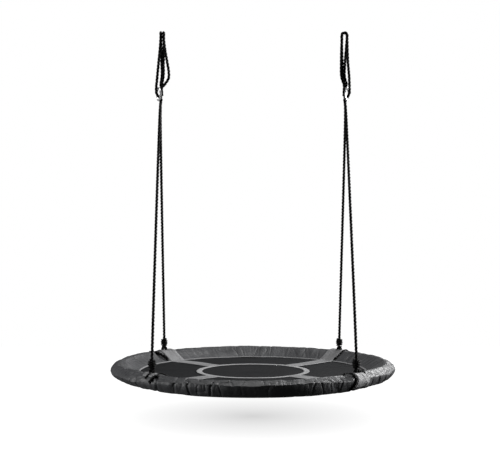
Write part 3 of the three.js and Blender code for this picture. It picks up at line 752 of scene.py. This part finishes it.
for k, (side, deg) in enumerate(SIDES.items()):
    seed = 11 + 7 * k
    s1 = np.linspace(0.0003, ARC - 0.0003, NS)
    d1 = np.minimum(s1, ARC - s1)
    theta1 = math.radians(deg - 45) + s1 / RIM_R
    # how far the flap reaches in at each station: all of it, all along the side
    open_flap = np.ones(NS)
    n_arc = NP
    phi_arc = np.linspace(BELOW, LEAVE, n_arc)
    S = s1[:, None] * np.ones((1, n_arc))
    PH = phi_arc[None, :] * np.ones((NS, 1))
    R = sleeve_radius(S, PH, seed)
    rr = RIM_R + R * np.cos(PH)
    zz = RIM_Z + R * np.sin(PH)
    # from the rim down the flap's face, then back under it to the rim
    t = np.linspace(0, 1, NF + 1)[1:]
    a_r, a_z = rr[:, -1], zz[:, -1]
    e_r, e_z = rr[:, 0], zz[:, 0]
    foot_r = FOOT_R + 0.0012 * noise2(seed + 31, s1 / 0.06, 0 * s1, 4)
    foot_z = FOOT_Z + 0 * s1
    fr = a_r[:, None] * (1 - t) + foot_r[:, None] * t
    fz = a_z[:, None] * (1 - t) + foot_z[:, None] * t
    slope = np.stack([a_z - foot_z, foot_r - a_r], axis=-1)
    slope /= np.linalg.norm(slope, axis=-1)[:, None]
    lift = flap_lift(s1[:, None] * np.ones((1, NF)), t[None, :] * np.ones((NS, 1)), seed)
    fr = fr - lift * np.abs(slope[:, :1])
    fz = fz + lift * np.abs(slope[:, 1:])
    # the round, gathered sleeve's section, mixed in by 1 - open_flap, which is zero all along
    close = np.radians(121 + (197 - 121) * t)
    RC = sleeve_radius(s1[:, None] * np.ones((1, NF)), close[None, :] * np.ones((NS, 1)), seed)
    cr_, cz_ = RIM_R + RC * np.cos(close)[None], RIM_Z + RC * np.sin(close)[None]
    o = open_flap[:, None]
    fr, fz = fr * o + cr_ * (1 - o), fz * o + cz_ * (1 - o)
    tb = np.linspace(0, 1, 10)[1:-1]
    br = fr[:, -1:] * (1 - tb) + e_r[:, None] * tb
    bz = fz[:, -1:] * (1 - tb) + e_z[:, None] * tb
    bz = bz - 0 * bz
    RR = np.concatenate([rr, fr, br], axis=1)
    ZZ = np.concatenate([zz, fz, bz], axis=1)
    nsec = RR.shape[1]
    th = theta1[:, None] * np.ones((1, nsec))
    outer = np.stack([RR * np.cos(th), RR * np.sin(th), ZZ], axis=-1)
    # inside, the bore round the steel ring
    back = np.linspace(ARC - 0.0003, 0.0003, NB)
    phc = np.linspace(BELOW, BELOW + 2 * math.pi, nsec, endpoint=False)
    bore = rim_surface((math.radians(deg - 45) + back / RIM_R)[:, None] * np.ones((1, nsec)), phc[None] * np.ones((NB, 1)), 0.0146)
    allv = np.concatenate([outer, bore])
    rows = len(allv)
    faces = grid_faces(rows, nsec, True) + [[(rows - 1) * nsec + j, j, (j + 1) % nsec, (rows - 1) * nsec + (j + 1) % nsec] for j in range(nsec)]
    across = np.concatenate([np.zeros((NS, 1)), np.cumsum(np.linalg.norm(np.diff(np.stack([RR, ZZ], -1), axis=1), axis=-1), axis=1)], axis=1)
    surf = np.stack([s1[:, None] * np.ones((1, nsec)), across, np.zeros((NS, nsec))], axis=-1)
    surf = np.concatenate([surf, np.stack([back[:, None] * np.ones((1, nsec)), phc[None] * 0.0146 * np.ones((NB, 1)), np.zeros((NB, nsec))], -1)])
    ob = mesh_object(f"padded_sleeve_{side}", allv.reshape(-1, 3), faces, surf.reshape(-1, 3), SLEEVE)
    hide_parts(f"rim_sleeve_{side}", f"foam_pad_{side}", f"inner_flap_{side}")
    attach(ob, "seat")

# ---------------- mat ----------------
NR, NT = ((130, 480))


def mat_height(x, y):
    rad = np.hypot(x, y)
    ang = np.arctan2(y, x)
    sag = -0.0035 * (1 - (rad / 0.444) ** 2)
    seam = 0.0006 * np.exp(-(((rad - 0.172) / 0.006) ** 2)) - 0.0005 * np.exp(-(((rad - 0.206) / 0.004) ** 2))
    pull = noise2(5, ang * 24 / (2 * math.pi), rad / 0.09, 64) * smooth01((rad - 0.2) / 0.1) * 0.0009
    slack = noise2(6, x / 0.11 + 40, y / 0.07 + 40, 90) * 0.0007
    # one tension fold across the right of the mat, between the straps
    win = smooth01((x - 0.225) / 0.05) * smooth01((0.398 - rad) / 0.04)
    off = y - 0.112 - 0.08 * (x - 0.30)
    fold = win * (0.0012 * np.exp(-(((off - 0.013) / 0.009) ** 2)) - 0.0016 * np.exp(-((off / 0.0060) ** 2)))
    return SEAT_Z + 0.0004 + sag * 0.35 + seam + pull + slack + fold


rad = np.linspace(0.0, 1.0, NR) ** 0.8 * 0.4436
ang = np.linspace(0, 2 * math.pi, NT, endpoint=False)
R2, A2 = np.meshgrid(rad[1:], ang, indexing="ij")
X, Y = R2 * np.cos(A2), R2 * np.sin(A2)
top = np.stack([X, Y, mat_height(X, Y)], axis=-1)
low = top[::-1].copy()
low[..., 2] -= 0.0024
allv = np.concatenate([top, low])
rows = allv.shape[0]
faces = grid_faces(rows, NT, True)
verts = allv.reshape(-1, 3).tolist()
surf = np.stack([allv[..., 0], allv[..., 1], 0 * allv[..., 0]], axis=-1).reshape(-1, 3).tolist()
c_top, c_low = len(verts), len(verts) + 1
hz = float(mat_height(np.zeros(1), np.zeros(1))[0])
verts += [[0, 0, hz], [0, 0, hz - 0.0024]]
surf += [[0, 0, 0], [0, 0, 0]]
for j in range(NT):
    j2 = (j + 1) % NT
    faces.append([c_top, j, j2])
    faces.append([c_low, (rows - 1) * NT + j2, (rows - 1) * NT + j])
mat = mesh_object("seat_mat_cloth", verts, faces, surf, MAT)
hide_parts("seat_mat")
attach(mat, "seat")


# ---------------- webbing ----------------
def ribbon(name, centre, across, normal, width, thick, material, closed=False, edge_n=3):
    """A woven strap swept along points: across and normal are unit vectors, width and thick numbers or arrays."""
    centre, across, normal = (np.array(v, float) for v in (centre, across, normal))
    m = len(centre)
    width = np.broadcast_to(width, (m,))
    section = []  # across -1..1, height -1..1
    cols = 13
    for j in range(cols):
        section.append((-1 + 2 * j / (cols - 1), 1.0))
    for j in range(cols):
        section.append((1 - 2 * j / (cols - 1), -1.0))
    sec = np.array(section)
    # rounded selvedges: the two outer columns draw in in thickness
    fall = np.where(np.abs(sec[:, 0]) > 0.999, 0.35, 1.0)
    pts = (
        centre[:, None, :]
        + across[:, None, :] * (sec[:, 0][None, :, None] * width[:, None, None] / 2)
        + normal[:, None, :] * (sec[:, 1] * fall)[None, :, None] * thick / 2
    )
    seg = np.linalg.norm(np.roll(centre, -1, axis=0) - centre, axis=1)
    u = np.concatenate([[0], np.cumsum(seg[:-1])])
    surf = np.stack([np.broadcast_to(u[:, None], pts.shape[:2]), np.broadcast_to(sec[:, 0][None] * width[:, None] / 2, pts.shape[:2]), np.zeros(pts.shape[:2])], axis=-1)
    b = len(sec)
    faces = grid_faces(m, b, True)
    if closed:
        faces += [[(m - 1) * b + j, j, (j + 1) % b, (m - 1) * b + (j + 1) % b] for j in range(b)]
    else:
        faces += [list(range(b)), [(m - 1) * b + j for j in reversed(range(b))]]
    ob = mesh_object(name, pts.reshape(-1, 3), faces, surf.reshape(-1, 3), material)
    return ob


n = 360
a = np.linspace(0, 2 * math.pi, n, endpoint=False)
cr = 0.19
cxy = np.stack([cr * np.cos(a), cr * np.sin(a)], axis=-1)
cz = mat_height(cxy[:, 0], cxy[:, 1]) + 0.0012
circle = ribbon("webbing_circle_tape", np.column_stack([cxy, cz]), np.column_stack([np.cos(a), np.sin(a), 0 * a]), np.tile((0, 0, 1.0), (n, 1)), 0.0195, 0.0015, CIRCLE_WEBBING, closed=True)
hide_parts("webbing_circle")
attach(circle, "seat")

# Straps: flat across the mat, then over the rim and down its outer side, spread into a wide patch.
for corner, deg in CORNERS.items():
    ar = math.radians(deg)
    out, along, up = np.array((math.cos(ar), math.sin(ar), 0)), np.array((-math.sin(ar), math.cos(ar), 0)), np.array((0, 0, 1.0))
    flat = np.linspace(0.1975, 0.4060, 60)
    z = mat_height(flat * math.cos(ar), flat * math.sin(ar)) + 0.0014 + 0.0012 * smooth01((flat - 0.392) / 0.010)
    cen = flat[:, None] * out + z[:, None] * up
    width = 0.060 * np.ones(60)
    strap = ribbon("strap_web_" + corner, cen, np.tile(along, (60, 1)), np.tile(up, (60, 1)), width, 0.0015, WEBBING)
    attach(strap, "seat")
    # the patch: from the flap's foot up its slope, over the rim and down the outer side
    nw, nphi, nfl = 51, 50, 40
    reach_minus, reach_plus = {135: (0.042, 0.0235), 45: (0.0235, 0.042), 225: (0.0235, 0.0235), 315: (0.0235, 0.040)}[deg]
    w = np.linspace(-reach_minus, reach_plus, nw)
    side_after = {45: "rear", 135: "left", 225: "front", 315: "right"}[deg]
    side_before = {45: "right", 135: "rear", 225: "left", 315: "front"}[deg]
    seeds = {s2: 11 + 7 * k2 for k2, s2 in enumerate(SIDES)}
    ph = np.radians(np.linspace(121, {225: 38, 315: -40, 45: 16, 135: 16}[deg], nphi))
    W0, P = np.meshgrid(w, ph, indexing="ij")
    # at the front right the rope turn slants under the rim, and the patch's edge goes with it
    W = W0 - (0.030 * smooth01((25 - np.degrees(P)) / 115.0) if deg == 315 else 0)

    def section_radius(W, P):
        after = sleeve_radius(np.maximum(W, 0.0003), P, seeds[side_after])
        before = sleeve_radius(ARC + np.minimum(W, -0.0003), P, seeds[side_before])
        mix = smooth01((W + 0.006) / 0.012)
        return after * mix + before * (1 - mix)

    rr = section_radius(W, P)
    covers = {135: -1, 45: 1, 225: 0, 315: 1}[deg]
    rr = np.where(W * covers > 0.012, np.maximum(rr, 0.0268), rr)
    T = np.linspace(1, 0, nfl)[:-1]
    WF, TF = np.meshgrid(w, T, indexing="ij")
    top_at = section_radius(WF, np.full_like(WF, math.radians(121)))
    tr, tz = RIM_R + top_at * math.cos(math.radians(121)), RIM_Z + top_at * math.sin(math.radians(121))
    slope_r, slope_z = tr * (1 - TF) + 0.4022 * TF, tz * (1 - TF) + (SEAT_Z + 0.0006) * TF
    lift_after = flap_lift(np.maximum(WF, 0.0003), TF, seeds[side_after])
    lift_before = flap_lift(ARC + np.minimum(WF, -0.0003), TF, seeds[side_before])
    m_ = smooth01((WF + 0.006) / 0.012)
    lift = lift_after * m_ + lift_before * (1 - m_)
    lift = np.where(WF * covers > 0.012, np.maximum(lift, -0.0008), lift)
    nr, nz = -0.46, 0.888
    edge = smooth01(np.minimum(W0 + reach_minus, reach_plus - W0) / 0.002) * 0.7 + 0.3
    edge_f = smooth01(np.minimum(WF + reach_minus, reach_plus - WF) / 0.002) * 0.7 + 0.3
    # where it covers a rope turn it bulges over it
    over = 0.0012 * np.exp(-(((np.abs(w) - 0.0290) / 0.0062) ** 4)) * (np.abs(w) < 0.045)
    over = over[:, None]
    puff = 0.0007 * noise2(90 + deg, W / 0.02 + 9, P * 1.6 + 20, 64)
    puff_f = 0.0007 * noise2(90 + deg, WF / 0.02 + 9, TF * 3 + 40, 64)

    def skin(thick, keep):
        tuck = smooth01((P - ph[-1]) / 0.18)
        r_ = rr + thick * edge * tuck - 0.0022 * (1 - tuck) + puff * keep + over * (thick > 0) * tuck
        f_ = lift + thick * edge_f + puff_f * keep + over * (thick > 0) * smooth01((1 - TF) / 0.12 + 0.15)
        R_ = np.concatenate([slope_r + nr * f_, RIM_R + r_ * np.cos(P)], axis=1)
        Z_ = np.concatenate([slope_z + nz * f_, RIM_Z + r_ * np.sin(P)], axis=1)
        off = np.concatenate([WF, W], axis=1)
        base_r = R_[..., None] * out + Z_[..., None] * up
        return base_r + off[..., None] * along

    pts_top, pts_low = skin(0.0021, 1), skin(-0.0008, 0)
    V = np.concatenate([pts_top, pts_low[::-1]])
    rows, ncol = V.shape[0], V.shape[1]
    faces = grid_faces(rows, ncol, False) + [[(rows - 1) * ncol + j, j, j + 1, (rows - 1) * ncol + j + 1] for j in range(ncol - 1)]
    for col, order in ((0, 1), (ncol - 1, -1)):
        loop = [i * ncol + col for i in range(rows)]
        faces.append(loop if order > 0 else loop[::-1])
    run = np.concatenate([[0], np.cumsum(np.linalg.norm(np.diff(pts_top[nw // 2], axis=0), axis=1))])
    sf = np.stack([np.broadcast_to(run, (nw, ncol)), np.broadcast_to(w[:, None], (nw, ncol)), np.zeros((nw, ncol))], axis=-1)
    patch = mesh_object("rim_patch_" + corner, V.reshape(-1, 3), faces, np.concatenate([sf, sf[::-1]]).reshape(-1, 3), WEBBING)
    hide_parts("strap_" + corner)
    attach(patch, "seat")

# the bound edge between sleeve and mat
for k, (side, deg) in enumerate(SIDES.items()):
    n = 260
    s = np.linspace(0.034, ARC - 0.034, n)
    th = math.radians(deg - 45) + s / RIM_R
    r0 = 0.4002 + 0.0008 * noise2(60 + k, s / 0.05, 0 * s, 4)
    z0 = SEAT_Z + 0.0026 + 0.0005 * noise2(70 + k, s / 0.04, 0 * s, 4)
    cen = np.column_stack([r0 * np.cos(th), r0 * np.sin(th), z0])
    tilt = math.radians(28)
    outv = np.column_stack([np.cos(th), np.sin(th), 0 * th])
    across = outv * math.cos(tilt) + np.array((0, 0, math.sin(tilt)))
    normal = -outv * math.sin(tilt) + np.array((0, 0, math.cos(tilt)))
    tape = ribbon("edge_tape_" + side, cen, across, normal, 0.0052, 0.0016, BINDING)
    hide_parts("edge_binding_" + side)
    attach(tape, "seat")

# ---------------- inner steel ----------------


def coated_steel(name, a, b_, rough):
    m, nt, b = new_material(name)
    oc = object_coords(nt)
    nt.links.new(ramp(nt, noise(nt, oc, 26.0), [(0.3, a), (0.7, b_)]), b.inputs["Base Color"])
    g = noise(nt, oc, 620.0, 3.0)
    nt.links.new(ramp(nt, g, [(0.3, (rough,) * 3), (0.8, (rough + 0.15,) * 3)]), b.inputs["Roughness"])
    bump(nt, b, g, 0.00008, 0.6)
    b.inputs["Metallic"].default_value = 0.6
    return m


STEEL = coated_steel("powder_coated_steel", (0.20, 0.205, 0.21), (0.27, 0.275, 0.28), 0.38)
ZINC = coated_steel("zinc_screw", (0.5, 0.5, 0.51), (0.62, 0.62, 0.63), 0.28)
for name, ob in N.items():
    if name.startswith("frame_tube_"):
        ob.data.materials.clear()
        ob.data.materials.append(STEEL)
    elif name.startswith("joint_screw_"):
        ob.data.materials.clear()
        ob.data.materials.append(ZINC)

# ---------------- floor, light ----------------
me = bpy.data.meshes.new("floor")
me.from_pydata([(-2.2, -2.2, 0), (2.2, -2.2, 0), (2.2, 2.2, 0), (-2.2, 2.2, 0)], [], [(0, 1, 2, 3)])
floor = bpy.data.objects.new("floor", me)
floor.location = (0, 0, SEAT_Z - 0.160)
bpy.context.scene.collection.objects.link(floor)
fm, nt, fb = new_material("floor_white")
fb.inputs["Base Color"].default_value = (0.9, 0.9, 0.9, 1)
fb.inputs["Roughness"].default_value = 0.9
fb.inputs["Specular IOR Level"].default_value = 0.0
fb.inputs["Emission Color"].default_value = (1, 1, 1, 1)
# painted shadow: the floor's glow is dimmed in a soft round spot under the seat
painted_shadow_spot = nt.nodes.new("ShaderNodeTexGradient")
painted_shadow_spot.gradient_type = "SPHERICAL"
fit_painted_shadow = nt.nodes.new("ShaderNodeMapping")
fit_painted_shadow.inputs["Scale"].default_value = (1 / 0.57, 1 / 0.57, 1)
nt.links.new(object_coords(nt), fit_painted_shadow.inputs["Vector"])
nt.links.new(fit_painted_shadow.outputs[0], painted_shadow_spot.inputs["Vector"])
nt.links.new(math_node(nt, "SUBTRACT", 0.985, math_node(nt, "MULTIPLY", math_node(nt, "POWER", painted_shadow_spot.outputs["Fac"], 1.7), 0.33)), fb.inputs["Emission Strength"])
me.materials.append(fm)
floor.visible_diffuse = False
floor.visible_glossy = False

world = bpy.data.worlds.new("studio")
bpy.context.scene.world = world
world.use_nodes = True
wn = world.node_tree
bg = wn.nodes["Background"]
bg.inputs[0].default_value = (1, 1, 1, 1)
bg.inputs[1].default_value = 0.05
back = wn.nodes.new("ShaderNodeBackground")
back.inputs[0].default_value = (1, 1, 1, 1)
back.inputs[1].default_value = 1.0
path_node = wn.nodes.new("ShaderNodeLightPath")
mixer = wn.nodes.new("ShaderNodeMixShader")
wn.links.new(path_node.outputs["Is Camera Ray"], mixer.inputs[0])
wn.links.new(bg.outputs[0], mixer.inputs[1])
wn.links.new(back.outputs[0], mixer.inputs[2])
wn.links.new(mixer.outputs[0], wn.nodes["World Output"].inputs[0])

# Lights for the swing leave the floor out; the floor has its own wide light, for the real part of its soft shadow; the
# rest of that shadow is painted into the floor's glow.
for_swing = bpy.data.collections.new("lit_by_studio")
for_swing.objects.link(floor)
for_swing.collection_objects[0].light_linking.link_state = "EXCLUDE"
for_floor = bpy.data.collections.new("lit_by_floor_light")
for_floor.objects.link(floor)


def area(name, loc, target, size, watts, receivers=for_swing):
    d = bpy.data.lights.new(name, "AREA")
    d.shape = "RECTANGLE"
    d.size, d.size_y = size
    d.energy = watts
    o = bpy.data.objects.new(name, d)
    o.location = loc
    o.rotation_euler = (Vector(target) - Vector(loc)).to_track_quat("-Z", "Y").to_euler()
    bpy.context.scene.collection.objects.link(o)
    o.light_linking.receiver_collection = receivers
    return o


area("top_softbox", (-0.2, 0.30, 1.6), (0, 0, -1.2), (2.6, 0.8), 37)
area("right_back_softbox", (1.9, 1.9, 0.6), (0.35, -0.3, -1.18), (0.9, 0.9), 66)
area("left_side", (-3.0, -0.7, -0.7), (0, 0, -1.18), (1.2, 1.0), 60)
area("right_side", (3.2, 0.6, -0.3), (0, 0, -1.18), (1.2, 1.2), 140)
area("floor_light", (0, 0, 2.0), (0, 0, -2), (9.0, 9.0), 45, for_floor)

bpy.context.scene.view_settings.view_transform = "Standard"
bpy.context.scene.view_settings.look = "None"
